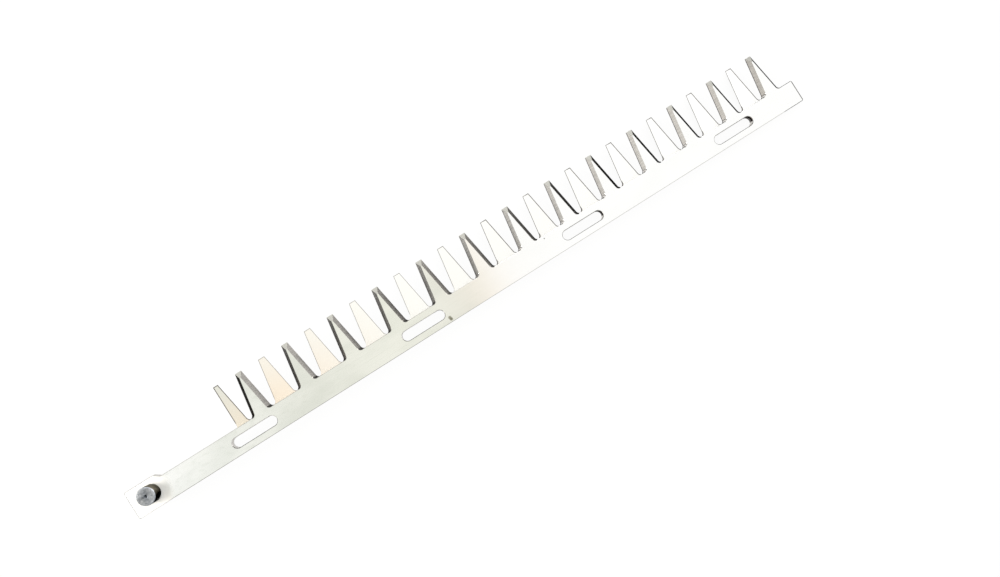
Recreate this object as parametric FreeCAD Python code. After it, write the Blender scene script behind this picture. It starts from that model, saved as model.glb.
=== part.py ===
import FreeCAD, Part
import math
import os

# A pair of single-sided hedge trimmer blades, laid together at mid stroke.
# The origin is on the axis of the upper drive pin, at the upper blade's outer face.
# +X runs to the free end of the blades, +Y to the teeth and +Z to the upper blade's outer side.
# All sizes are in millimetres.

# Blade blank
THICKNESS = 2.5
BAR_WIDTH = 15.3
TAIL_LENGTH = 13.4
NOSE_LENGTH = 16.0
CORNER_RADIUS = 1.0
EDGE_BREAK = 0.3

# Wider tab round the drive pin, and the slope down to the bar
TAB_WIDTH = 18.05
TAB_PAST_PIN = 5.2
TAB_SLOPE_RUN = 3.7

# Teeth
TOOTH_COUNT = 13
TOOTH_PITCH = 32.0
TOOTH_LENGTH = 28.3
TOOTH_TIP_WIDTH = 4.2
TOOTH_ROOT_WIDTH = 13.2
ROOT_RADIUS = 2.4
PIN_TO_FIRST_TOOTH = 77.6
HALF_TOOTH_SIDE = 1.05
HALF_TOOTH_RADIUS = 1.2

# Cutting edges, ground on the outer side and measured in plan
SIDE_GRIND = 2.3
TIP_GRIND = 4.0

# Guide slots, on the middle line of the bar
SLOT_COUNT = 4
SLOT_PITCH = 119.0
SLOT_LENGTH = 30.0
SLOT_WIDTH = 6.5
PIN_TO_FIRST_SLOT = 68.2

# Drive pins, each riveted through the tab of its blade
BACK_TO_PIN = 9.35
PIN_DIAMETER = 11.0
PIN_LENGTH = 9.0
PIN_CHAMFER = 0.6
CENTRE_DIAMETER = 2.6
CENTRE_DEPTH = 1.2
SPIGOT_DIAMETER = 7.0
RIVET_HEAD_DIAMETER = 8.6
RIVET_HEAD_DEPTH = 0.9
RIVET_RECESS = 0.1
RIVET_CLEARANCE = 0.02

# Lines that the outline follows
BACK_Y = -BACK_TO_PIN
ROOT_Y = BACK_Y + BAR_WIDTH
TIP_Y = ROOT_Y + TOOTH_LENGTH
TAB_Y = BACK_Y + TAB_WIDTH
SLOT_Y = BACK_Y + BAR_WIDTH / 2
TAIL_X = -TAIL_LENGTH
NOSE_X = PIN_TO_FIRST_TOOTH + (TOOTH_COUNT - 1) * TOOTH_PITCH + NOSE_LENGTH
SLOPE_TOP_X = TAB_PAST_PIN
SLOPE_FOOT_X = TAB_PAST_PIN + TAB_SLOPE_RUN

Z_AXIS = FreeCAD.Vector(0, 0, 1)
SEWING_TOLERANCE = 1e-5


class Side:
    """One straight side of a blade's outline, walked with the steel on its left.

    inset is how far the side has moved in, square to itself, at the outer face.
    ground sides slope all the way from the mating face; the others only have a broken edge.
    """

    def __init__(self, start, end, inset, ground):
        self.start = FreeCAD.Vector(start[0], start[1], 0)
        self.along = (FreeCAD.Vector(end[0], end[1], 0) - self.start).normalize()
        self.inward = Z_AXIS.cross(self.along)
        self.inset = inset
        self.ground = ground

    def moved(self, level):
        """A point of the side at a level above the mating face."""
        if self.ground:
            share = level / THICKNESS
        else:
            share = max(0.0, (level - THICKNESS + EDGE_BREAK) / EDGE_BREAK)
        return self.start + self.inward * (self.inset * share)


def crossing(first, second, level):
    """Where two neighbouring sides meet at a level."""
    start = first.moved(level)
    gap = second.moved(level) - start
    across = first.along.cross(second.along).z
    return start + first.along * (gap.cross(second.along).z / across)


def rounded(first, second, level, radius):
    """Start, middle and end of the arc that rounds the corner between two sides.

    The radius is that of the mating face. Where a ground side meets a plain one, every level keeps
    that radius, so the ground band runs round the root and fades out at the plain side. Elsewhere the
    arcs of a corner share their centre.
    """
    turn = first.along.cross(second.along).z
    half = math.acos(first.along.dot(second.along)) / 2
    corner = crossing(first, second, level)
    here = radius
    if first.ground == second.ground:
        here -= math.copysign(first.moved(level).distanceToPoint(first.start), turn)
    reach = here * math.tan(half)
    begin = corner - first.along * reach
    finish = corner + second.along * reach
    centre = begin + first.inward * math.copysign(here, turn)
    middle = centre + (corner - centre).normalize() * here
    return begin, middle, finish


def tooth_sides(x, left_side):
    """The sides of one tooth in the order they are walked, from +X to -X, and its corner radii."""
    tip = TOOTH_TIP_WIDTH / 2
    root = TOOTH_ROOT_WIDTH / 2
    right = Side((x + root, ROOT_Y), (x + tip, TIP_Y), SIDE_GRIND, True)
    if left_side is None:
        left = Side((x - tip, TIP_Y), (x - root, ROOT_Y), SIDE_GRIND, True)
        left_radius = ROOT_RADIUS
    else:
        left = Side((x - left_side, TIP_Y), (x - left_side, ROOT_Y), EDGE_BREAK, False)
        left_radius = HALF_TOOTH_RADIUS
    top = Side((x + tip, TIP_Y), (x - tip, TIP_Y), TIP_GRIND, True)
    return [right, top, left], [ROOT_RADIUS, 0.0, 0.0, left_radius]


def blade_sides(first_tooth, half_tooth_side):
    """All sides of a blade, and the radius of the corner after each."""

    def plain(start, end):
        return Side(start, end, EDGE_BREAK, False)

    sides = [plain((TAIL_X, BACK_Y), (NOSE_X, BACK_Y)), plain((NOSE_X, BACK_Y), (NOSE_X, ROOT_Y))]
    radii = [CORNER_RADIUS, CORNER_RADIUS]
    for number in reversed(range(TOOTH_COUNT)):
        left_side = half_tooth_side if number == 0 else None
        tooth, corners = tooth_sides(first_tooth + number * TOOTH_PITCH, left_side)
        sides += [plain((NOSE_X, ROOT_Y), (TAIL_X, ROOT_Y))] + tooth
        radii += corners
    sides.append(plain((NOSE_X, ROOT_Y), (SLOPE_FOOT_X, ROOT_Y)))
    sides.append(plain((SLOPE_FOOT_X, ROOT_Y), (SLOPE_TOP_X, TAB_Y)))
    sides.append(plain((SLOPE_TOP_X, TAB_Y), (TAIL_X, TAB_Y)))
    sides.append(plain((TAIL_X, TAB_Y), (TAIL_X, BACK_Y)))
    radii += [CORNER_RADIUS] * 4
    return sides, radii


def outline(sides, radii, level):
    """The closed outline of a blade at a level above its mating face."""
    corners = []
    for number, side in enumerate(sides):
        after = sides[(number + 1) % len(sides)]
        if radii[number] > 0:
            corner = rounded(side, after, level, radii[number])
        else:
            corner = (crossing(side, after, level),)
        corners.append([point + Z_AXIS * level for point in corner])
    edges = []
    for number, corner in enumerate(corners):
        edges.append(Part.LineSegment(corners[number - 1][-1], corner[0]).toShape())
        if len(corner) > 1:
            edges.append(Part.Arc(*corner).toShape())
    return Part.Wire(edges)


def wall(low, high):
    """The face between an edge of one outline and the same edge of the outline above it."""
    if isinstance(low.Curve, Part.Line):
        points = [low.firstVertex(), low.lastVertex(), high.lastVertex(), high.firstVertex()]
        points = [vertex.Point for vertex in points]
        return Part.Face(Part.makePolygon(points + points[:1]))
    return Part.makeRuledSurface(low, high)


def stacked(outlines):
    """The solid whose outlines at rising levels are given, each with the same edges in order."""
    faces = [Part.Face(outlines[0]), Part.Face(outlines[-1])]
    for low, high in zip(outlines, outlines[1:]):
        faces += [wall(*pair) for pair in zip(low.OrderedEdges, high.OrderedEdges)]
    shell = Part.makeShell(faces)
    shell.sewShape()
    solid = Part.makeSolid(shell)
    solid.fix(SEWING_TOLERANCE, SEWING_TOLERANCE, SEWING_TOLERANCE)
    return solid.removeSplitter()


def slot_outline(x, grown, level):
    """The outline of a guide slot at a level, grown all round."""
    radius = SLOT_WIDTH / 2 + grown
    half = (SLOT_LENGTH - SLOT_WIDTH) / 2
    left = FreeCAD.Vector(x - half, SLOT_Y, level)
    right = FreeCAD.Vector(x + half, SLOT_Y, level)
    up = FreeCAD.Vector(0, radius, 0)
    out = FreeCAD.Vector(radius, 0, 0)
    edges = [
        Part.LineSegment(left - up, right - up).toShape(),
        Part.Arc(right - up, right + out, right + up).toShape(),
        Part.LineSegment(right + up, left + up).toShape(),
        Part.Arc(left + up, left - out, left - up).toShape(),
    ]
    return Part.Wire(edges)


def slot_cutter(x):
    """A guide slot right through the blade, with a broken edge at the outer face."""
    through = Part.Face(slot_outline(x, 0, 0)).extrude(Z_AXIS * THICKNESS)
    shoulder = slot_outline(x, 0, THICKNESS - EDGE_BREAK)
    rim = slot_outline(x, EDGE_BREAK, THICKNESS)
    return through.fuse(stacked([shoulder, rim]))


def turned(profile):
    """A solid turned about the pin axis from points given as radius and height."""
    points = [FreeCAD.Vector(radius, 0, height) for radius, height in profile]
    face = Part.Face(Part.makePolygon(points + points[:1]))
    return face.revolve(FreeCAD.Vector(0, 0, 0), Z_AXIS, 360)


def rivet_profile(grown):
    """Spigot and countersunk head below the outer face, as radius and height above the mating face."""
    head = RIVET_HEAD_DIAMETER / 2 + grown
    spigot = SPIGOT_DIAMETER / 2 + grown
    return [(head, 0), (spigot, RIVET_HEAD_DEPTH), (spigot, THICKNESS)]


def blade(first_tooth, half_tooth_side):
    """One blade with its mating face at level 0 and its outer face up."""
    sides, radii = blade_sides(first_tooth, half_tooth_side)
    levels = (0, THICKNESS - EDGE_BREAK, THICKNESS)
    solid = stacked([outline(sides, radii, level) for level in levels])
    cutters = [slot_cutter(PIN_TO_FIRST_SLOT + number * SLOT_PITCH) for number in range(SLOT_COUNT)]
    cutters.append(turned([(0, 0)] + rivet_profile(RIVET_CLEARANCE) + [(0, THICKNESS)]))
    return solid.cut(cutters)


def drive_pin():
    """One drive pin, seated on the outer face of a blade whose mating face is at level 0."""
    radius = PIN_DIAMETER / 2
    end = THICKNESS + PIN_LENGTH
    head, spigot, seat = rivet_profile(0)
    slope = (spigot[0] - head[0]) / RIVET_HEAD_DEPTH
    profile = [
        (0, RIVET_RECESS),
        (head[0] + slope * RIVET_RECESS, RIVET_RECESS),
        spigot,
        seat,
        (radius, THICKNESS),
        (radius, end - PIN_CHAMFER),
        (radius - PIN_CHAMFER, end),
        (CENTRE_DIAMETER / 2, end),
        (0, end - CENTRE_DEPTH),
    ]
    return turned(profile)


def as_upper(shape):
    """A piece of the upper blade, put where it belongs."""
    return shape.translated(Z_AXIS * -THICKNESS)


def as_lower(shape):
    """A piece of the lower blade, turned over under the mating face."""
    return shape.mirror(FreeCAD.Vector(0, 0, 0), Z_AXIS).translated(Z_AXIS * -THICKNESS)


def main():
    first_lower_tooth = PIN_TO_FIRST_TOOTH - TOOTH_PITCH / 2
    pieces = {
        "upper_blade": as_upper(blade(PIN_TO_FIRST_TOOTH, None)),
        "upper_drive_pin": as_upper(drive_pin()),
        "lower_blade": as_lower(blade(first_lower_tooth, HALF_TOOTH_SIDE)),
        "lower_drive_pin": as_lower(drive_pin()),
    }
    os.makedirs("parts", exist_ok=True)
    for name, shape in pieces.items():
        shape.exportStep(os.path.join("parts", name + ".step"))
        print(name, "solids", len(shape.Solids), "valid", shape.isValid(), "volume", round(shape.Volume, 1))


main()
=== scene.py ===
"""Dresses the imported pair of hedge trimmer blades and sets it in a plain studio.

The scene is in metres in the frame of the part: the origin is on the axis of the upper drive pin at
the upper blade's outer face, +X runs to the free end, +Y to the teeth and +Z up. The blades' and the
pins' own sizes are in millimetres.
"""

import logging
import math
from dataclasses import dataclass
from enum import Enum
from typing import Any

import bpy
import numpy as np
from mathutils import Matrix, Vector


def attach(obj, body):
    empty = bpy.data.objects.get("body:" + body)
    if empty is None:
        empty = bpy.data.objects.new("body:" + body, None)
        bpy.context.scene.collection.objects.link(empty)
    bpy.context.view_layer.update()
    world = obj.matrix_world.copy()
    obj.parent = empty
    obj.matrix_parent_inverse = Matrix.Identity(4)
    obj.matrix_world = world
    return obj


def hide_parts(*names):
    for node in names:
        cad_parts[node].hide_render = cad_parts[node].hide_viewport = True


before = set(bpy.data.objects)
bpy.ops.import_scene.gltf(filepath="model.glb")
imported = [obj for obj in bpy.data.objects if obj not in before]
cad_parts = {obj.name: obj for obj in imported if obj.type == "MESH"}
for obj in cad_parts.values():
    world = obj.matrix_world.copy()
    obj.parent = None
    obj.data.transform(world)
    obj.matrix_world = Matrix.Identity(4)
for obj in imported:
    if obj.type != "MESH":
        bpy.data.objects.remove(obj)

LOG = logging.getLogger("blade_pair")
MM = 0.001
BODY = "root"
IMAGE_WIDTH = 1000.0
# Height of the lines that the rolls, the wheel and the lathe leave, in millimetres.
RELIEF_DEPTH = 0.05

Socket = bpy.types.NodeSocket
Span = tuple[float, float]


class Blade(Enum):
    """The two blades, each with the way its ground outer side faces."""

    UPPER = 1
    LOWER = -1

    @property
    def node(self) -> str:
        """Name of the blade's CAD node."""
        return f"{self.name.lower()}_blade"

    @property
    def pin_node(self) -> str:
        """Name of the CAD node of the drive pin riveted in this blade."""
        return f"{self.name.lower()}_drive_pin"


class Pattern(Enum):
    """Uneven patterns on the steel, by a cell's size along X, Y and Z and the number of finer layers."""

    # Rolling lines are some hundredths of a millimetre wide, drawn coarser so that they show.
    ROLLING = ((40.0, 0.6, 0.6), 3.0)
    CLOUDS = ((32.0, 16.0, 16.0), 4.0)
    STAINS = ((5.6, 3.5, 3.5), 3.0)
    # Lines of a 60 grit wheel are about 0.25 mm apart, drawn coarser so that they show.
    WHEEL = ((6.0, 0.6, 6.0), 2.0)
    BATH = ((2.6, 2.6, 2.6), 4.0)
    BLOTCHES = ((1.6, 1.6, 1.6), 3.0)

    @property
    def per_mm(self) -> tuple[float, ...]:
        """Number of cells in a millimetre along X, Y and Z."""
        return tuple(1.0 / side for side in self.value[0])

    @property
    def detail(self) -> float:
        """Number of finer layers."""
        return self.value[1]


class Step(Enum):
    """Nodes that the finishes are worked out with: kind, settings, inputs in order, and the output used."""

    PLACE = ("ShaderNodeTexCoord", {}, (), "Object")
    WAY = ("ShaderNodeTexCoord", {}, (), "Generated")
    NORMAL = ("ShaderNodeNewGeometry", {}, (), "True Normal")
    SEEN = ("ShaderNodeLightPath", {}, (), "Is Camera Ray")
    MIRRORED = ("ShaderNodeLightPath", {}, (), "Is Glossy Ray")
    SEEN_THROUGH = ("ShaderNodeLightPath", {}, (), "Is Transmission Ray")
    X = ("ShaderNodeSeparateXYZ", {}, (0,), "X")
    Y = ("ShaderNodeSeparateXYZ", {}, (0,), "Y")
    Z = ("ShaderNodeSeparateXYZ", {}, (0,), "Z")
    JOIN = ("ShaderNodeCombineXYZ", {}, (0, 1), 0)
    SCALED = ("ShaderNodeMapping", {}, ("Vector", "Scale"), 0)
    LENGTH = ("ShaderNodeVectorMath", {"operation": "LENGTH"}, (0,), "Value")
    DISTANCE = ("ShaderNodeVectorMath", {"operation": "DISTANCE"}, (0, 1), "Value")
    NOISE = ("ShaderNodeTexNoise", {}, ("Vector", "Detail", "Scale"), 0)
    BANDS = ("ShaderNodeTexNoise", {"noise_dimensions": "1D"}, ("W", "Detail", "Scale"), 0)
    RAMP = ("ShaderNodeMapRange", {}, ("Value", "From Min", "From Max", "To Min", "To Max"), 0)
    RISE = ("ShaderNodeMapRange", {"interpolation_type": "SMOOTHSTEP"}, ("Value", "From Min", "From Max"), 0)
    BLEND = ("ShaderNodeMix", {}, (0, 2, 3), 0)
    TINT = ("ShaderNodeMix", {"data_type": "RGBA"}, (0, 6, 7), 2)
    STOPS = ("ShaderNodeValToRGB", {}, (0,), 0)
    MINUS = ("ShaderNodeMath", {"operation": "SUBTRACT"}, (0, 1), 0)
    LEFT_OVER = ("ShaderNodeMath", {"operation": "SUBTRACT", "use_clamp": True}, (0, 1), 0)
    TIMES = ("ShaderNodeMath", {"operation": "MULTIPLY"}, (0, 1), 0)
    TIMES_PLUS = ("ShaderNodeMath", {"operation": "MULTIPLY_ADD"}, (0, 1, 2), 0)
    OVER = ("ShaderNodeMath", {"operation": "DIVIDE"}, (0, 1), 0)
    UNSIGNED = ("ShaderNodeMath", {"operation": "ABSOLUTE"}, (0,), 0)
    WRAP = ("ShaderNodeMath", {"operation": "WRAP"}, (0, 1, 2), 0)
    BELOW = ("ShaderNodeMath", {"operation": "LESS_THAN"}, (0, 1), 0)
    ABOVE = ("ShaderNodeMath", {"operation": "GREATER_THAN"}, (0, 1), 0)
    NEAR = ("ShaderNodeMath", {"operation": "COMPARE"}, (0, 1, 2), 0)
    LEAST = ("ShaderNodeMath", {"operation": "MINIMUM"}, (0, 1), 0)
    MOST = ("ShaderNodeMath", {"operation": "MAXIMUM"}, (0, 1), 0)
    BUMP = ("ShaderNodeBump", {}, ("Height", "Strength", "Distance"), 0)
    GLOW = ("ShaderNodeEmission", {}, ("Color", "Strength"), 0)
    SHARED = ("ShaderNodeMixShader", {}, (0, 1, 2), 0)

    def __init__(self, kind: str, settings: dict[str, Any], inputs: tuple, output: str | int) -> None:
        """Keeps the four parts under their names."""
        self.kind, self.settings, self.inputs, self.output = kind, settings, inputs, output


def add(tree: bpy.types.NodeTree, step: Step, *values: Any) -> Socket:
    """Adds one node to a tree, with its settings and links.

    Args:
        tree: Node tree that gets the node.
        step: Which node it is.
        values: What the node's inputs get in order, each a value or the output of another node.

    Returns:
        The node's output.
    """
    node = tree.nodes.new(step.kind)
    for name, setting in step.settings.items():
        setattr(node, name, setting)
    for key, value in zip(step.inputs, values):
        if isinstance(value, Socket):
            tree.links.new(value, node.inputs[key])
        else:
            node.inputs[key].default_value = value
    return node.outputs[step.output]


def linear(code: str) -> tuple[float, float, float, float]:
    """Turns an sRGB hex colour into a linear colour with full alpha, by the sRGB curve.

    Args:
        code: Six hex digits after a hash sign.

    Returns:
        Red, green, blue and alpha as scene-linear numbers.
    """
    values = np.array([int(code[i : i + 2], 16) for i in (1, 3, 5)]) / 255.0
    low, high = values / 12.92, ((values + 0.055) / 1.055) ** 2.4
    return (*np.where(values <= 0.04045, low, high).tolist(), 1.0)


def put_mesh(name: str, points: np.ndarray, faces: list[list[int]], smooth: bool) -> bpy.types.Object:
    """Puts computed points and faces into a new object at the origin.

    Args:
        name: Name of the object and its mesh.
        points: Corner positions in metres, one row each.
        faces: Corner numbers of each face, walked with the outside in view.
        smooth: Whether the faces are shaded as one rounded surface.

    Returns:
        The linked object.
    """
    mesh = bpy.data.meshes.new(name)
    mesh.from_pydata(points.tolist(), [], faces)
    mesh.polygons.foreach_set("use_smooth", np.full(len(mesh.polygons), smooth))
    mesh.update()
    made = bpy.data.objects.new(name, mesh)
    bpy.context.scene.collection.objects.link(made)
    return made


@dataclass(frozen=True)
class Mark:
    """A small mark on a blade's outer face, with the part of its radius that is marked in full."""

    x: float
    y: float
    radius: float
    colour: str
    core: float = 0.4


@dataclass(frozen=True)
class ToothRow:
    """Where a row of teeth stands, for the dark line and painted shade along its cutting edges."""

    first: float
    pitch: float = 32.0
    tip_y: float = 34.25
    root_y: float = 5.95
    half_tip: float = 2.1
    half_root: float = 6.6
    root_radius: float = 2.4
    plain_side: float | None = None

    @property
    def slope(self) -> float:
        """How far a flank moves in along X for each step towards the tip."""
        return (self.half_root - self.half_tip) / (self.tip_y - self.root_y)

    @property
    def root_centre(self) -> tuple[float, float]:
        """Middle of the root fillet, from the tooth's middle and from the frame's X axis."""
        square = math.hypot(1.0, self.slope)
        return self.half_root + self.root_radius * (square - self.slope), self.root_y + self.root_radius


@dataclass(frozen=True)
class Surface:
    """What a finish reads at a point of a blade, as outputs in its material's node tree.

    The places are in millimetres. Then come the normal's part towards the teeth, how level the surface
    lies and how far it faces out of the pair. The rest are shares from 0 to 1: facing left, lying
    behind the slots' middle, being in the far half, near the first lower tooth or under the grease.
    """

    tree: bpy.types.NodeTree
    place: Socket
    x: Socket
    y: Socket
    z: Socket
    normal_y: Socket
    level: Socket
    outward: Socket
    leftward: Socket
    behind: Socket
    far: Socket
    first: Socket
    greased: Socket
    patterns: dict[Pattern, Socket]


@dataclass(frozen=True)
class RolledFace:
    """Cold-rolled outer face, smooth enough to mirror large lamps softly.

    It has a faint grain along the strip and cloudy patches, faint stains near the drive, a painted dark
    shade line along the nose's end, a few marks, and a matt white film of dried grease round the pin, half
    bare.
    """

    face: str = "#F8F8F6"
    cloud: str = "#EFF0ED"
    cloud_far: str = "#F6F6F4"
    stain: str = "#E6E8E3"
    # Painted shade along the nose's end.
    nose_shade: str = "#55534F"
    grease: str = "#F6F6F4"
    roughness: float = 0.13
    grease_roughness: float = 0.8
    grease_bare: float = 0.5
    relief: float = 0.08
    # Values of each pattern between which it comes in.
    cloud_cut: Span = (0.4, 0.65)
    grain_cut: Span = (0.55, 0.75)
    stain_cut: Span = (0.5, 0.72)
    stain_run: Span = (140.0, 80.0)
    stain_share: float = 0.5
    nose_shade_run: Span = (476.7, 477.1)
    marks: tuple[Mark, ...] = ()

    def colour(self, at: Surface) -> Socket:
        """Lays the clouds, the grain, the stains, the painted shade at the nose's end, the grease and the
        marks in turn.

        Args:
            at: What is read at a point of the blade.

        Returns:
            The face's colour.
        """
        tree = at.tree
        clouded = add(tree, Step.TINT, at.far, linear(self.cloud), linear(self.cloud_far))
        near = add(tree, Step.TIMES, add(tree, Step.RISE, at.x, *self.stain_run), self.stain_share)
        stained = add(tree, Step.RISE, at.patterns[Pattern.STAINS], *self.stain_cut)
        coats = [
            (add(tree, Step.RISE, at.patterns[Pattern.CLOUDS], *self.cloud_cut), clouded),
            (add(tree, Step.RISE, at.patterns[Pattern.ROLLING], *self.grain_cut), clouded),
            (add(tree, Step.TIMES, stained, near), linear(self.stain)),
            # Painted shade along the last of the face at the nose's end.
            (add(tree, Step.RISE, at.x, *self.nose_shade_run), linear(self.nose_shade)),
            (at.greased, linear(self.grease)),
        ]
        for mark in self.marks:
            away = add(tree, Step.DISTANCE, at.place, (mark.x, mark.y, 0.0))
            spot = add(tree, Step.RISE, away, mark.radius, mark.core * mark.radius)
            coats.append((spot, linear(mark.colour)))
        colour = linear(self.face)
        for share, coat in coats:
            colour = add(tree, Step.TINT, share, colour, coat)
        return colour


@dataclass(frozen=True)
class LappedFace:
    """Lapped matt face that slides on the other blade.

    It carries a painted warm reflection that deepens to the roots and thins away from the drive, greyer
    on the first lower tooth, and a dark line along its cutting edges, widened as painted shade in the
    far half's left-hand root corners.
    """

    row: ToothRow
    lapped: str = "#FAFAF9"
    # Painted warm reflection near the drive, deeper to the roots.
    reflected_warm: str = "#E4DFD6"
    reflected_deep: str = "#EBDCC9"
    first_root: str = "#DED7CA"
    first_tip: str = "#D2D3CD"
    # Dark line along the cutting edges, widened into painted shade in the far half's root corners.
    line_and_shade: str = "#4C463F"
    roughness: float = 0.45
    drive_reflection_run: Span = (200.0, 45.0)
    edge_line: float = 0.46
    heavy_line: float = 0.66
    corner_shade_line: float = 1.15
    near_line: float = 0.7
    # Depth into the line, as a share of its width, from which it comes in and is full.
    line_cut: Span = (1.0, 0.3)
    # Height above the roots over which a left flank's line comes in.
    left_rise: Span = (1.5, 4.0)
    # Distance from a tooth's middle over which left gives way to right.
    side_cut: Span = (-0.5, 0.5)

    def edge_gap(self, at: Surface, local: Socket) -> Socket:
        """Distance from the nearest cutting edge.

        From a flank it is the tooth's half width at that height, less the distance from the tooth's
        middle. Below the flank it is the distance from the fillet's middle, less its radius. The tip
        and an upright first side count as well.

        Args:
            at: What is read at a point of the blade.
            local: Distance along X from the tooth's middle, below 0 on its left.

        Returns:
            The distance in millimetres.
        """
        tree, row = at.tree, self.row
        half = add(tree, Step.RAMP, at.y, row.root_y, row.tip_y, row.half_root, row.half_tip)
        off = add(tree, Step.UNSIGNED, local)
        away = add(tree, Step.DISTANCE, add(tree, Step.JOIN, off, at.y), (*row.root_centre, 0.0))
        fillet = add(tree, Step.MINUS, away, row.root_radius)
        flank = add(tree, Step.MINUS, half, off)
        on_flank = add(tree, Step.ABOVE, at.y, row.root_centre[1] - row.root_radius * row.slope)
        nearest = add(tree, Step.BLEND, on_flank, fillet, flank)
        nearest = add(tree, Step.LEAST, nearest, add(tree, Step.MINUS, row.tip_y, at.y))
        if row.plain_side is not None:
            nearest = add(tree, Step.LEAST, nearest, add(tree, Step.MINUS, at.x, row.plain_side))
        return nearest

    def line_and_shade_share(self, at: Surface) -> Socket:
        """Share of the dark line along the teeth, widened into painted shade in the root corners.

        On the near half's left flanks the line thins out before the root. In the far half it is heavier
        on the right flanks and widest, as painted shade, in the left-hand root corners. The first lower
        tooth has a heavy line, and the other near ones a fainter one.

        Args:
            at: What is read at a point of the blade.

        Returns:
            1 on the line and 0 off it.
        """
        tree, row = at.tree, self.row
        along = add(tree, Step.MINUS, at.x, row.first)
        local = add(tree, Step.WRAP, along, row.pitch / 2, -row.pitch / 2)
        right = add(tree, Step.RISE, local, *self.side_cut)
        high = add(tree, Step.RISE, at.y, *(row.root_y + rise for rise in self.left_rise))
        plain = add(tree, Step.MOST, high, right)
        heavy = add(tree, Step.MOST, add(tree, Step.TIMES, at.far, right), at.first)
        width = add(tree, Step.BLEND, heavy, self.edge_line, self.heavy_line)
        # The width in the far half's left-hand root corners is painted shade.
        width = add(tree, Step.BLEND, add(tree, Step.BLEND, plain, at.far, 0.0), width, self.corner_shade_line)
        depth = add(tree, Step.OVER, self.edge_gap(at, local), width)
        strong = add(tree, Step.BLEND, add(tree, Step.MOST, at.far, at.first), self.near_line, 1.0)
        kept = add(tree, Step.TIMES, add(tree, Step.MOST, plain, at.far), strong)
        return add(tree, Step.TIMES, add(tree, Step.RISE, depth, *self.line_cut), kept)

    def colour(self, at: Surface) -> Socket:
        """Lays the painted warm reflection, the first tooth's own tint and the dark line with its painted
        shade on the bare steel.

        Args:
            at: What is read at a point of the blade.

        Returns:
            The face's colour.
        """
        tree = at.tree
        rooted = add(tree, Step.RISE, at.y, self.row.tip_y, self.row.root_y)
        # Painted warm reflection, deeper to the roots and only near the drive.
        warm_reflection = add(tree, Step.TINT, rooted, linear(self.reflected_warm), linear(self.reflected_deep))
        first = add(tree, Step.TINT, rooted, linear(self.first_tip), linear(self.first_root))
        drive_reflection = add(tree, Step.RISE, at.x, *self.drive_reflection_run)
        colour = add(tree, Step.TINT, drive_reflection, linear(self.lapped), warm_reflection)
        colour = add(tree, Step.TINT, at.first, colour, first)
        return add(tree, Step.TINT, self.line_and_shade_share(at), colour, linear(self.line_and_shade))


@dataclass(frozen=True)
class GroundFlank:
    """Ground flanks of the teeth, darker than the faces, with wheel lines across the edge.

    They are darkest, as painted shade, where the grinding runs out at the roots. Left flanks carry
    painted dark reflection near the drive. In the far half they have pale feet, with painted shade at
    their ends, and a black line along the mating face. Right flanks carry painted reflection, paler in
    the middle of the blade and dark in the far half.
    """

    flank: str = "#4E4D4B"
    line: str = "#575654"
    # Painted reflection: dark on the left flanks near the drive, paler and then dark on the right flanks
    # along the blade.
    drive_reflection: str = "#353432"
    middle: str = "#6C6A67"
    dark: str = "#3C3B3A"
    # Painted shade where the grinding runs out at the roots.
    root_shade: str = "#2E2B28"
    foot: str = "#D4D2CF"
    # Black line along the mating face on the far half's left flanks.
    mating_line: str = "#121110"
    roughness: float = 0.3
    relief: float = 0.03
    line_cut: Span = (0.35, 0.65)
    drive_reflection_run: Span = (115.0, 70.0)
    middle_run: Span = (175.0, 205.0)
    dark_run: Span = (235.0, 320.0)
    # A flank's normal points 0.677 upwards, and less where the grinding fades out at the root.
    level_run: Span = (0.2031, 0.57545)
    # A flank's normal leans 0.116 to the tips; past that it turns round the root fillet.
    foot_turn: Span = (0.58, 0.3)
    foot_end: Span = (0.8, 0.64)
    mating_z: float = -2.5
    mating_run: Span = (0.4, 0.16)

    def share(self, at: Surface) -> Socket:
        """Share of the flank proper, by how level it lies, and on the far left by how far it has turned.

        Args:
            at: What is read at a point of the blade.

        Returns:
            1 on the flanks and 0 where they have faded out.
        """
        tree = at.tree
        pale = add(tree, Step.TIMES, at.far, at.leftward)
        level = add(tree, Step.RISE, at.level, *self.level_run)
        return add(tree, Step.BLEND, pale, level, add(tree, Step.RISE, at.normal_y, *self.foot_turn))

    def colour(self, at: Surface, ground: Socket) -> Socket:
        """Lays the painted reflection along the blade on the ground steel, then the feet, their painted shade
        and the black mating line.

        Args:
            at: What is read at a point of the blade.
            ground: Share of the flank proper.

        Returns:
            The flanks' colour.
        """
        tree = at.tree
        lined = add(tree, Step.RISE, at.patterns[Pattern.WHEEL], *self.line_cut)
        flank = add(tree, Step.TINT, lined, linear(self.flank), linear(self.line))
        # Right flanks get painted reflection: paler in the middle of the blade, dark in the far half.
        right = add(tree, Step.TINT, add(tree, Step.RISE, at.x, *self.middle_run), flank, linear(self.middle))
        right = add(tree, Step.TINT, add(tree, Step.RISE, at.x, *self.dark_run), right, linear(self.dark))
        # Left flanks get painted dark reflection near the drive.
        reflection_share = add(tree, Step.TIMES, add(tree, Step.RISE, at.x, *self.drive_reflection_run), at.leftward)
        flank = add(tree, Step.TINT, at.leftward, right, flank)
        flank = add(tree, Step.TINT, reflection_share, flank, linear(self.drive_reflection))
        pale = add(tree, Step.TIMES, at.far, at.leftward)
        foot = add(tree, Step.TIMES, pale, add(tree, Step.RISE, at.normal_y, *self.foot_end))
        # Painted shade where the grinding runs out at the root, with the pale feet of the far half's left
        # flanks between.
        root_shade = add(tree, Step.TINT, foot, linear(self.root_shade), linear(self.foot))
        # A black line along the mating face on the far half's left flanks.
        height = add(tree, Step.UNSIGNED, add(tree, Step.MINUS, at.z, self.mating_z))
        mating_line = add(tree, Step.TIMES, pale, add(tree, Step.RISE, height, *self.mating_run))
        return add(tree, Step.TINT, mating_line, add(tree, Step.TINT, ground, root_shade, flank), linear(self.mating_line))


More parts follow.
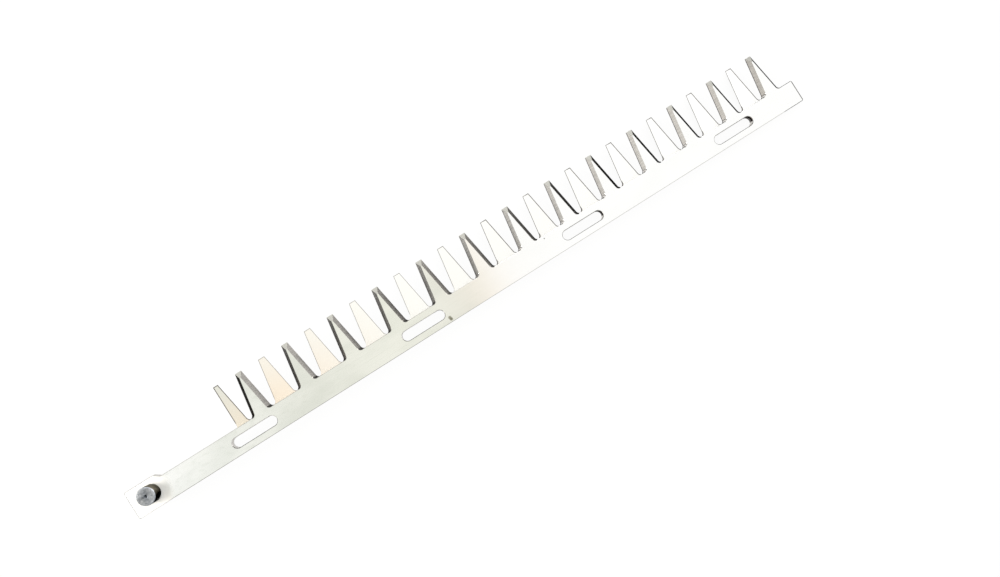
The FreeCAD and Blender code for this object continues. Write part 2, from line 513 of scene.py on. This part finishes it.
@dataclass(frozen=True)
class BrokenEdge:
    """Edges broken with a stone, whose thin lines draw the outline in greys.

    Their greys are painted shade. They are painted paler, as light, in the far half, apart from the slots'
    front edges, which get darker painted shade there. The slots' back edges and the tail's end get dark
    painted shade, the tail's back is painted pale as light, and the nose's edges get black painted shade.
    """

    # Greys painted on the edge breaks as shade, so that they draw the outline.
    broken: str = "#A3A19C"
    far: str = "#F0EFED"
    far_back: str = "#C6C4C0"
    slot: str = "#C6C4C0"
    slot_far: str = "#94928F"
    slot_back: str = "#4C4A48"
    tail: str = "#A09E9A"
    tail_back: str = "#E4E2DE"
    tail_end: str = "#2E2C2A"
    nose: str = "#141312"
    slot_reach: float = 4.5
    nose_x: float = 462.0

    def colour(self, at: Surface, slot_y: float) -> Socket:
        """Lays the painted light and shade of the slots' edges, the tail's outline and the nose on the plain
        edges.

        Args:
            at: What is read at a point of the blade.
            slot_y: Where the slots' middle is.

        Returns:
            The edges' colour.
        """
        tree = at.tree
        # Painted light in the far half, and painted shade on back edges, slot edges, the tail's end and the
        # nose.
        far = add(tree, Step.TINT, at.behind, linear(self.far), linear(self.far_back))
        front = add(tree, Step.TINT, at.far, linear(self.slot), linear(self.slot_far))
        slot = add(tree, Step.TINT, at.behind, front, linear(self.slot_back))
        tail = add(tree, Step.TINT, at.behind, linear(self.tail), linear(self.tail_back))
        tail = add(tree, Step.TINT, at.leftward, tail, linear(self.tail_end))
        colour = linear(self.broken)
        for share, coat in (
            (at.far, far),
            (add(tree, Step.NEAR, at.y, slot_y, self.slot_reach), slot),
            (at.greased, tail),
            (add(tree, Step.ABOVE, at.x, self.nose_x), linear(self.nose)),
        ):
            colour = add(tree, Step.TINT, share, colour, coat)
        return colour


@dataclass(frozen=True)
class BlankedWall:
    """Blanked upright walls, pale and a little rough, with black painted shade at each slot's far end."""

    wall: str = "#ECEAE6"
    # Black painted shade at each slot's far end.
    end_shade: str = "#2C2A2A"
    roughness: float = 0.5
    slot_first: float = 68.2
    slot_pitch: float = 119.0
    # Middle of the painted shade from its slot's middle along X, and the distances where it ends and is full.
    shade_middle: Span = (12.6, -0.6)
    shade_run: Span = (3.41, 3.1)

    def colour(self, at: Surface) -> Socket:
        """Paints shade on the wall near the far end of each slot, by the distance from the shade's middle.

        Args:
            at: What is read at a point of the blade.

        Returns:
            The walls' colour.
        """
        tree = at.tree
        along = add(tree, Step.MINUS, at.x, self.slot_first)
        local = add(tree, Step.WRAP, along, self.slot_pitch / 2, -self.slot_pitch / 2)
        away = add(tree, Step.DISTANCE, add(tree, Step.JOIN, local, at.y), (*self.shade_middle, 0.0))
        # Painted shade on the wall at each slot's far end.
        end_shade = add(tree, Step.RISE, away, *self.shade_run)
        return add(tree, Step.TINT, end_shade, linear(self.wall), linear(self.end_shade))


@dataclass(frozen=True)
class GroundBladeSteel:
    """Hardened spring steel strip, cold rolled, blanked, lapped, and ground along the teeth.

    To the eye it is pale, softly mirroring faces with dark ground flanks between, thin grey outlines
    painted as shade on the broken edges, and pale upright walls. Which finish a surface has follows
    from the way it faces. The tones also change along the blade, from painted dark and warm reflection
    near the drive to painted light on the edges in the far half.
    """

    name: str
    blade: Blade
    lapped: LappedFace
    face: RolledFace = RolledFace()
    flank: GroundFlank = GroundFlank()
    edge: BrokenEdge = BrokenEdge()
    wall: BlankedWall = BlankedWall()
    tip: str = "#A3A29C"
    edge_on: str = "#8C8C8C"
    far_run: Span = (190.0, 260.0)
    first_run: Span = (84.0, 72.0)
    grease_middle: tuple[float, float, float] = (-4.0, 0.0, 0.0)
    grease_run: Span = (18.2, 8.4)
    slot_y: float = -1.7
    left_from: float = -0.05
    # How level the ground tips and the broken edges lie, with how far that may be off.
    tip_level: Span = (0.848, 0.04)
    broken_level: Span = (math.sqrt(0.5), 0.014)
    face_cut: Span = (0.93, 0.97)
    wall_cut: Span = (0.06, 0.03)
    # Past the tab and the bar, what doesn't face straight to the teeth is grinding and not a wall.
    past_tab: Span = (11.0, 12.0)
    past_bar: Span = (5.7, 5.8)
    tilt_cut: Span = (0.995, 0.96)

    def read(self, tree: bpy.types.NodeTree) -> Surface:
        """Adds the nodes that all the finishes read.

        Args:
            tree: Node tree of the material.

        Returns:
            What is read at a point of the blade.
        """
        place = add(tree, Step.SCALED, add(tree, Step.PLACE), (1.0 / MM,) * 3)
        normal = add(tree, Step.NORMAL)
        facing = add(tree, Step.Z, normal)
        from_grease = add(tree, Step.DISTANCE, place, self.grease_middle)
        x, y, z = (add(tree, axis, place) for axis in (Step.X, Step.Y, Step.Z))
        patterns = {}
        for pattern in (Pattern.ROLLING, Pattern.CLOUDS, Pattern.STAINS, Pattern.WHEEL):
            cells = add(tree, Step.SCALED, place, pattern.per_mm)
            patterns[pattern] = add(tree, Step.NOISE, cells, pattern.detail, 1.0)
        return Surface(
            tree=tree,
            place=place,
            x=x,
            y=y,
            z=z,
            normal_y=add(tree, Step.Y, normal),
            level=add(tree, Step.UNSIGNED, facing),
            outward=add(tree, Step.TIMES, facing, float(self.blade.value)),
            leftward=add(tree, Step.BELOW, add(tree, Step.X, normal), self.left_from),
            behind=add(tree, Step.BELOW, y, self.slot_y),
            far=add(tree, Step.RISE, x, *self.far_run),
            first=add(tree, Step.RISE, x, *self.first_run),
            greased=add(tree, Step.RISE, from_grease, *self.grease_run),
            patterns=patterns,
        )

    def upright(self, at: Surface) -> Socket:
        """Share of the blanked walls, which are upright and not the last of the grinding at a root.

        Args:
            at: What is read at a point of the blade.

        Returns:
            1 on the walls and 0 off them.
        """
        tree = at.tree
        tab = add(tree, Step.RISE, at.x, *self.past_tab)
        teeth = add(tree, Step.LEAST, tab, add(tree, Step.RISE, at.y, *self.past_bar))
        teeth = add(tree, Step.TIMES, teeth, add(tree, Step.RISE, at.normal_y, *self.tilt_cut))
        return add(tree, Step.LEFT_OVER, add(tree, Step.RISE, at.level, *self.wall_cut), teeth)

    def make(self) -> bpy.types.Material:
        """Builds the material, choosing the finish of each surface by the way it faces.

        Returns:
            The finished material.
        """
        material = bpy.data.materials.new(self.name)
        material.use_nodes = True
        tree = material.node_tree
        at = self.read(tree)
        on_face = add(tree, Step.RISE, at.outward, *self.face_cut)
        on_lapped = add(tree, Step.RISE, at.outward, *(-cut for cut in self.face_cut))
        ground = self.flank.share(at)
        colour = self.flank.colour(at, ground)
        for share, coat in (
            (self.upright(at), self.wall.colour(at)),
            (add(tree, Step.NEAR, at.level, *self.tip_level), linear(self.tip)),
            (add(tree, Step.NEAR, at.level, *self.broken_level), self.edge.colour(at, self.slot_y)),
            (on_face, self.face.colour(at)),
            (on_lapped, self.lapped.colour(at)),
        ):
            colour = add(tree, Step.TINT, share, colour, coat)
        rough = add(tree, Step.BLEND, ground, self.wall.roughness, self.flank.roughness)
        greased = add(tree, Step.BLEND, at.greased, self.face.roughness, self.face.grease_roughness)
        rough = add(tree, Step.BLEND, on_face, rough, greased)
        rough = add(tree, Step.BLEND, on_lapped, rough, self.lapped.roughness)
        lines = add(tree, Step.BLEND, on_face, at.patterns[Pattern.WHEEL], at.patterns[Pattern.ROLLING])
        relief = add(tree, Step.BLEND, on_face, self.flank.relief, self.face.relief)
        film = add(tree, Step.TIMES, at.greased, on_face)
        shader = tree.nodes["Principled BSDF"]
        for name, output in (
            ("Base Color", colour),
            ("Roughness", rough),
            ("Metallic", add(tree, Step.BLEND, film, 1.0, self.face.grease_bare)),
            ("Normal", add(tree, Step.BUMP, lines, relief, RELIEF_DEPTH * MM)),
        ):
            tree.links.new(output, shader.inputs[name])
        shader.inputs["Specular Tint"].default_value = linear(self.edge_on)
        return material


@dataclass(frozen=True)
class TurnedPinSteel:
    """Case-hardened steel bar, turned on a lathe and left unpolished.

    The end shows the rings of the turning tool in bluish grey; the shank keeps blotches of the
    brown-black of the hardening bath, with painted shade darkening its side away from the teeth.
    """

    name: str = "case_hardened_steel_turned"
    end: str = "#353B42"
    ring: str = "#AEB2B7"
    shank: str = "#8C877B"
    stain: str = "#121110"
    edge_on: str = "#8A8A8A"
    roughness: float = 0.38
    relief: float = 0.25
    # A roughing feed leaves rings about 0.2 mm apart, drawn coarser so that they show.
    ring_pitch: float = 0.7
    ring_detail: float = 2.0
    end_radius: float = 5.5
    end_cut: Span = (0.3, 0.6)
    # How much the blotches and the rings count against the distance from the middle.
    blotch_share: float = 2.2
    ring_share: float = 0.5
    light_cut: Span = (1.1, 2.6)
    # Where painted shade darkens the shank's side away from the teeth.
    shaded_side_run: Span = (0.6, -3.2)
    bath_share: float = 0.8
    dark_cut: Span = (0.3, 1.1)

    def make(self) -> bpy.types.Material:
        """Builds the material, with rings on the end and stains on the shank.

        Returns:
            The finished material.
        """
        material = bpy.data.materials.new(self.name)
        material.use_nodes = True
        tree = material.node_tree
        place = add(tree, Step.SCALED, add(tree, Step.PLACE), (1.0 / MM,) * 3)
        radius = add(tree, Step.LENGTH, add(tree, Step.SCALED, place, (1.0, 1.0, 0.0)))
        turns = add(tree, Step.TIMES, radius, 1.0 / self.ring_pitch)
        rings = add(tree, Step.BANDS, turns, self.ring_detail, 1.0)
        bath, blotches = (
            add(tree, Step.NOISE, add(tree, Step.SCALED, place, pattern.per_mm), pattern.detail, 1.0)
            for pattern in (Pattern.BATH, Pattern.BLOTCHES)
        )

        patch = add(tree, Step.TIMES, radius, 1.0 / self.end_radius)
        patch = add(tree, Step.TIMES_PLUS, blotches, self.blotch_share, patch)
        patch = add(tree, Step.TIMES_PLUS, rings, self.ring_share, patch)
        light = add(tree, Step.RAMP, patch, *self.light_cut)
        end = add(tree, Step.TINT, light, linear(self.end), linear(self.ring))

        # Painted shade on the shank's side away from the teeth, added to the bath's real blotches.
        side = add(tree, Step.RAMP, add(tree, Step.Y, place), *self.shaded_side_run)
        black = add(tree, Step.TIMES_PLUS, bath, self.bath_share, side)
        dark = add(tree, Step.RAMP, black, *self.dark_cut)
        shank = add(tree, Step.TINT, dark, linear(self.shank), linear(self.stain))

        level = add(tree, Step.UNSIGNED, add(tree, Step.Z, add(tree, Step.NORMAL)))
        colour = add(tree, Step.TINT, add(tree, Step.RAMP, level, *self.end_cut), shank, end)
        shader = tree.nodes["Principled BSDF"]
        tree.links.new(colour, shader.inputs["Base Color"])
        bump = add(tree, Step.BUMP, rings, self.relief, RELIEF_DEPTH * MM)
        tree.links.new(bump, shader.inputs["Normal"])
        shader.inputs["Metallic"].default_value = 1.0
        shader.inputs["Specular Tint"].default_value = linear(self.edge_on)
        shader.inputs["Roughness"].default_value = self.roughness
        return material


@dataclass(frozen=True)
class MattWhiteBoard:
    """Matt white board for the floor, even and without gloss, so that only the soft shadow shows on it."""

    name: str = "matt_white_board"
    colour: str = "#F6F6F5"
    own_colour: str = "#FFFFFF"
    own_white: float = 0.93

    def make(self) -> bpy.types.Material:
        """Builds the board, part of whose white is its own so that it stays even.

        Returns:
            The finished material.
        """
        material = bpy.data.materials.new(self.name)
        material.use_nodes = True
        tree = material.node_tree
        board = tree.nodes["Principled BSDF"]
        board.inputs["Base Color"].default_value = linear(self.colour)
        board.inputs["Roughness"].default_value = 1.0
        board.inputs["Specular IOR Level"].default_value = 0.0
        seen = add(tree, Step.MOST, add(tree, Step.SEEN), add(tree, Step.MIRRORED))
        seen = add(tree, Step.MOST, seen, add(tree, Step.SEEN_THROUGH))
        share = add(tree, Step.TIMES, seen, self.own_white)
        white = add(tree, Step.GLOW, linear(self.own_colour), 1.0)
        both = add(tree, Step.SHARED, share, board.outputs[0], white)
        tree.links.new(both, tree.nodes["Material Output"].inputs["Surface"])
        return material


@dataclass
class BladePair:
    """The two blades, which keep their CAD shapes and get their finishes here."""

    upper_first_tooth: float = 77.6
    lower_first_tooth: float = 61.6
    half_tooth_side: float = 60.55
    lower_end_shade: str = "#706E6C"
    marks: tuple[Mark, ...] = (
        Mark(203.5, -6.2, 1.4, "#A5A398"),
        Mark(203.8, -7.4, 1.4, "#8F8D80"),
        Mark(280.4, 4.2, 0.6, "#9A9A94"),
    )

    def finish(self, blade: Blade) -> GroundBladeSteel:
        """The finish of one blade.

        Args:
            blade: Which blade.

        Returns:
            Its steel, with the marks on the upper one and paler painted shade at slot ends on the lower one.
        """
        if blade is Blade.UPPER:
            lapped = LappedFace(ToothRow(self.upper_first_tooth))
            return GroundBladeSteel("spring_steel_ground_upper", blade, lapped, RolledFace(marks=self.marks))
        lapped = LappedFace(ToothRow(self.lower_first_tooth, plain_side=self.half_tooth_side))
        # The lower blade's painted shade at the slots' far ends is paler.
        wall = BlankedWall(end_shade=self.lower_end_shade)
        return GroundBladeSteel("spring_steel_ground_lower", blade, lapped, wall=wall)

    def dress(self) -> list[bpy.types.Object]:
        """Gives both blades their material.

        Returns:
            The two CAD objects.
        """
        dressed = []
        for blade in Blade:
            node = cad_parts[blade.node]
            node.data.materials.clear()
            node.data.materials.append(self.finish(blade).make())
            dressed.append(node)
        return dressed


@dataclass
class DrivePin:
    """A turned drive pin with a chamfered end, a centre hole and a riveted spigot."""

    blade: Blade
    radius: float = 5.5
    length: float = 9.0
    chamfer: float = 0.6
    centre_radius: float = 1.3
    centre_depth: float = 1.2
    spigot_radius: float = 3.5
    head_radius: float = 4.3
    head_depth: float = 0.9
    head_recess: float = 0.1
    thickness: float = 2.5
    edge_round: float = 0.12
    ring_pitch: float = 0.62
    ring_depth: float = 0.035
    face_steps: int = 64
    run_share: float = 0.25
    around: int = 128

    def end_face(self) -> np.ndarray:
        """Profile of the turned end, from its rim to the centre hole.

        The height is the end less a cosine of the radius, one wave for each ring of the tool.

        Returns:
            Radius and height above the outer face, one row each.
        """
        radii = np.linspace(self.radius - self.chamfer, self.centre_radius, self.face_steps)
        inside = (radii - radii[0]) * (radii - radii[-1]) != 0
        waves = 0.5 - 0.5 * np.cos(2 * np.pi * (radii[0] - radii) / self.ring_pitch)
        return np.column_stack([radii, self.length - self.ring_depth * waves * inside])

    def profile(self) -> np.ndarray:
        """The whole profile from the rivet head round to the bottom of the centre hole.

        Straight runs join the corners of the turned shape, and each corner is doubled a little way
        along its two runs so that smooth shading keeps it crisp.

        Returns:
            Radius and height above the outer face, one row each, both ends on the axis.
        """
        under = -self.thickness
        slope = (self.spigot_radius - self.head_radius) / self.head_depth
        head = [
            (0.0, under + self.head_recess),
            (self.head_radius + slope * self.head_recess, under + self.head_recess),
            (self.spigot_radius, under + self.head_depth),
            (self.spigot_radius, 0.0),
            (self.radius, 0.0),
            (self.radius, self.length - self.chamfer),
        ]
        corners = np.vstack([head, self.end_face(), [(0.0, self.length - self.centre_depth)]])
        runs = np.diff(corners, axis=0)
        spans = np.linalg.norm(runs, axis=1, keepdims=True)
        step = runs / spans * np.minimum(self.edge_round, self.run_share * spans)
        pairs = np.stack([corners[:-1] + step, corners[1:] - step], axis=1).reshape(-1, 2)
        return np.vstack([corners[:1], pairs, corners[-1:]])

    def build(self) -> bpy.types.Object:
        """Carries the profile round the axis: x is radius times cosine, y is radius times sine.

        Returns:
            The closed pin in its place on its blade.
        """
        profile = self.profile() * MM
        rim = profile[1:-1]
        angles = np.linspace(0, 2 * np.pi, self.around, endpoint=False)
        ring = np.stack([np.cos(angles), np.sin(angles)], axis=1)
        flat = rim[:, None, :1] * ring[None]
        heights = np.broadcast_to(rim[:, None, 1:], (len(rim), self.around, 1))
        wall = np.concatenate([flat, heights], axis=2).reshape(-1, 3)
        points = np.vstack([wall, [(0.0, 0.0, profile[0, 1])], [(0.0, 0.0, profile[-1, 1])]])
        if self.blade is Blade.LOWER:
            points[:, 2] = -2 * self.thickness * MM - points[:, 2]
        rows, columns = np.meshgrid(np.arange(len(rim) - 1), np.arange(self.around), indexing="ij")
        after = (columns + 1) % self.around
        first, next_row = rows * self.around, (rows + 1) * self.around
        loops = [first + columns, first + after, next_row + after, next_row + columns]
        quads = np.stack(loops, axis=2).reshape(-1, 4)
        turn = np.arange(self.around)
        step = (turn + 1) % self.around
        foot, top = len(wall), len(wall) + 1
        last = (len(rim) - 1) * self.around
        base = np.stack([np.full(self.around, foot), step, turn], axis=1)
        peak = np.stack([np.full(self.around, top), last + turn, last + step], axis=1)
        # The lower pin is a mirror image, so its faces are walked the other way round.
        walk = self.blade.value
        faces = quads[:, ::walk].tolist() + base[:, ::walk].tolist() + peak[:, ::walk].tolist()
        return put_mesh(f"{self.blade.name.lower()}_turned_pin", points, faces, True)

    def dress(self, steel: bpy.types.Material) -> bpy.types.Object:
        """Builds the pin, gives it its steel and puts it in place of the CAD pin.

        Args:
            steel: Material of the pin.

        Returns:
            The finished pin.
        """
        pin = self.build()
        pin.data.materials.append(steel)
        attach(pin, BODY)
        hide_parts(self.blade.pin_node)
        return pin


@dataclass(frozen=True)
class SoftPanel:
    """A soft lamp panel, by its middle, its two sides in metres and its brightness, 1 being white."""

    name: str
    middle: tuple[float, float, float]
    sides: Span
    brightness: float
    colour: str = "#FFFFFF"

    def hang(self, aim: Vector) -> bpy.types.Object:
        """Hangs the panel so that it looks at a point.

        Args:
            aim: Point that the panel looks at.

        Returns:
            The lamp.
        """
        lamp = bpy.data.lights.new(self.name, "AREA")
        lamp.shape = "RECTANGLE"
        lamp.size, lamp.size_y = self.sides
        lamp.energy = self.brightness * math.pi * self.sides[0] * self.sides[1]
        lamp.color = linear(self.colour)[:3]
        hung = bpy.data.objects.new(self.name, lamp)
        hung.location = self.middle
        hung.rotation_euler = (aim - Vector(self.middle)).to_track_quat("-Z", "Y").to_euler()
        hung.visible_camera = False
        bpy.context.scene.collection.objects.link(hung)
        return hung


@dataclass
class Studio:
    """Floor, surrounding light and lamp panels, in metres."""

    floor_half: float = 3.0
    pin_rim: Span = (0.0049, -0.014)
    far_end: Span = (0.4773, -0.005)
    middle: tuple[float, float, float] = (0.232, 0.013, 0.0)
    light: float = 1.08
    white: str = "#FFFFFF"
    # Stops of the ceiling from its left to its right, by the sideways part of the direction.
    ceiling: tuple[tuple[float, str], ...] = (
        (-0.65, "#F7E3CB"),
        (-0.5, "#FFFFFF"),
        (-0.42, "#FFFFFF"),
        (-0.36, "#F6F7F3"),
        (-0.2, "#E4E5DC"),
        (-0.06, "#EFEFE5"),
        (0.02, "#EDEDE3"),
        (0.05, "#DCDBD1"),
        (0.09, "#FDF1E2"),
        (0.12, "#FFFFFF"),
    )
    # The upward part of the direction between which the plain white walls give way to the ceiling.
    horizon: Span = (0.25, 0.5)
    panels: tuple[SoftPanel, ...] = (
        SoftPanel("left_panel", (-0.75, 0.29, 0.17), (0.7, 0.34), 7.5, "#FFFDFA"),
        SoftPanel("upper_left_panel", (-0.75, 0.38, 0.53), (0.5, 0.38), 9.0, "#FFFDFA"),
        SoftPanel("right_panel", (1.25, 0.33, 0.14), (0.7, 0.28), 8.0, "#FFFCF9"),
        SoftPanel("tip_panel", (0.232, 0.95, 0.18), (1.6, 0.3), 1.6),
    )

    def floor(self) -> bpy.types.Object:
        """Lays the floor under the lower pin's rim and the lower blade's far end, which carry the pair.

        Its height is a straight line through those two points along X, the same all along Y.

        Returns:
            The floor.
        """
        slope = (self.far_end[1] - self.pin_rim[1]) / (self.far_end[0] - self.pin_rim[0])
        x, y = np.meshgrid([-self.floor_half, self.floor_half], [-self.floor_half, self.floor_half])
        x, y = x.ravel() + self.middle[0], y.ravel() + self.middle[1]
        points = np.column_stack([x, y, self.pin_rim[1] + slope * (x - self.pin_rim[0])])
        board = put_mesh("studio_floor", points, [[0, 1, 3, 2]], False)
        board.data.materials.append(MattWhiteBoard().make())
        return board

    def surround(self) -> None:
        """Makes the pale surrounding light.

        The ceiling changes from left to right in pale greys and peach. It fades to plain white walls
        at the horizon.
        """
        world = bpy.data.worlds.new("pale_studio")
        bpy.context.scene.world = world
        world.use_nodes = True
        tree = world.node_tree
        way = add(tree, Step.WAY)
        ceiling = add(tree, Step.STOPS, add(tree, Step.RAMP, add(tree, Step.X, way), -1.0, 1.0))
        # A part of a direction runs from -1 to 1, and a stop's place from 0 to 1.
        stops = ceiling.node.color_ramp.elements
        for _ in range(len(self.ceiling) - len(stops)):
            stops.new(0.5)
        for stop, (side, code) in zip(stops, self.ceiling):
            stop.position = (side + 1.0) / 2.0
            stop.color = linear(code)
        raised = add(tree, Step.RAMP, add(tree, Step.Z, way), *self.horizon)
        colour = add(tree, Step.TINT, raised, linear(self.white), ceiling)
        back = tree.nodes["Background"]
        tree.links.new(colour, back.inputs["Color"])
        back.inputs["Strength"].default_value = self.light

    def build(self) -> list[bpy.types.Object]:
        """Sets up the floor, the surrounding light and the panels.

        Returns:
            The floor and the lamps.
        """
        self.surround()
        return [self.floor()] + [panel.hang(Vector(self.middle)) for panel in self.panels]


@dataclass
class PhotoCamera:
    """The camera where the photograph was taken from, placed in metres and turned in degrees."""

    place: tuple[float, float, float] = (0.19339, -0.012, 0.43578)
    turn: tuple[float, float, float] = (3.7322, -4.8048, -32.4615)
    focal_pixels: float = 700.0
    sensor: float = 36.0
    near_clip: float = 0.01

    def build(self) -> bpy.types.Object:
        """Makes the camera and sets it as the scene's.

        Returns:
            The camera.
        """
        data = bpy.data.cameras.new("photo_camera")
        data.sensor_fit = "HORIZONTAL"
        data.sensor_width = self.sensor
        data.lens = self.focal_pixels * self.sensor / IMAGE_WIDTH
        data.clip_start = self.near_clip
        camera = bpy.data.objects.new("photo_camera", data)
        camera.location = self.place
        camera.rotation_euler = [math.radians(angle) for angle in self.turn]
        bpy.context.scene.collection.objects.link(camera)
        bpy.context.scene.camera = camera
        return camera


def corners(box: Any) -> list[list[float]]:
    """Turns a box's two corners into plain lists."""
    return [[float(value) for value in corner] for corner in box]


def main() -> None:
    """Builds the camera, the studio and the pieces in order, and logs each piece."""
    logging.basicConfig(level=logging.INFO, format="%(name)s: %(message)s")
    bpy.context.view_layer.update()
    bpy.context.scene.view_settings.view_transform = "Standard"
    made = [PhotoCamera().build(), *Studio().build(), *BladePair().dress()]
    steel = TurnedPinSteel().make()
    made += [DrivePin(blade).dress(steel) for blade in Blade]
    for piece in made:
        LOG.info("%s is in place", piece.name)


if __name__ == "__main__":
    main()
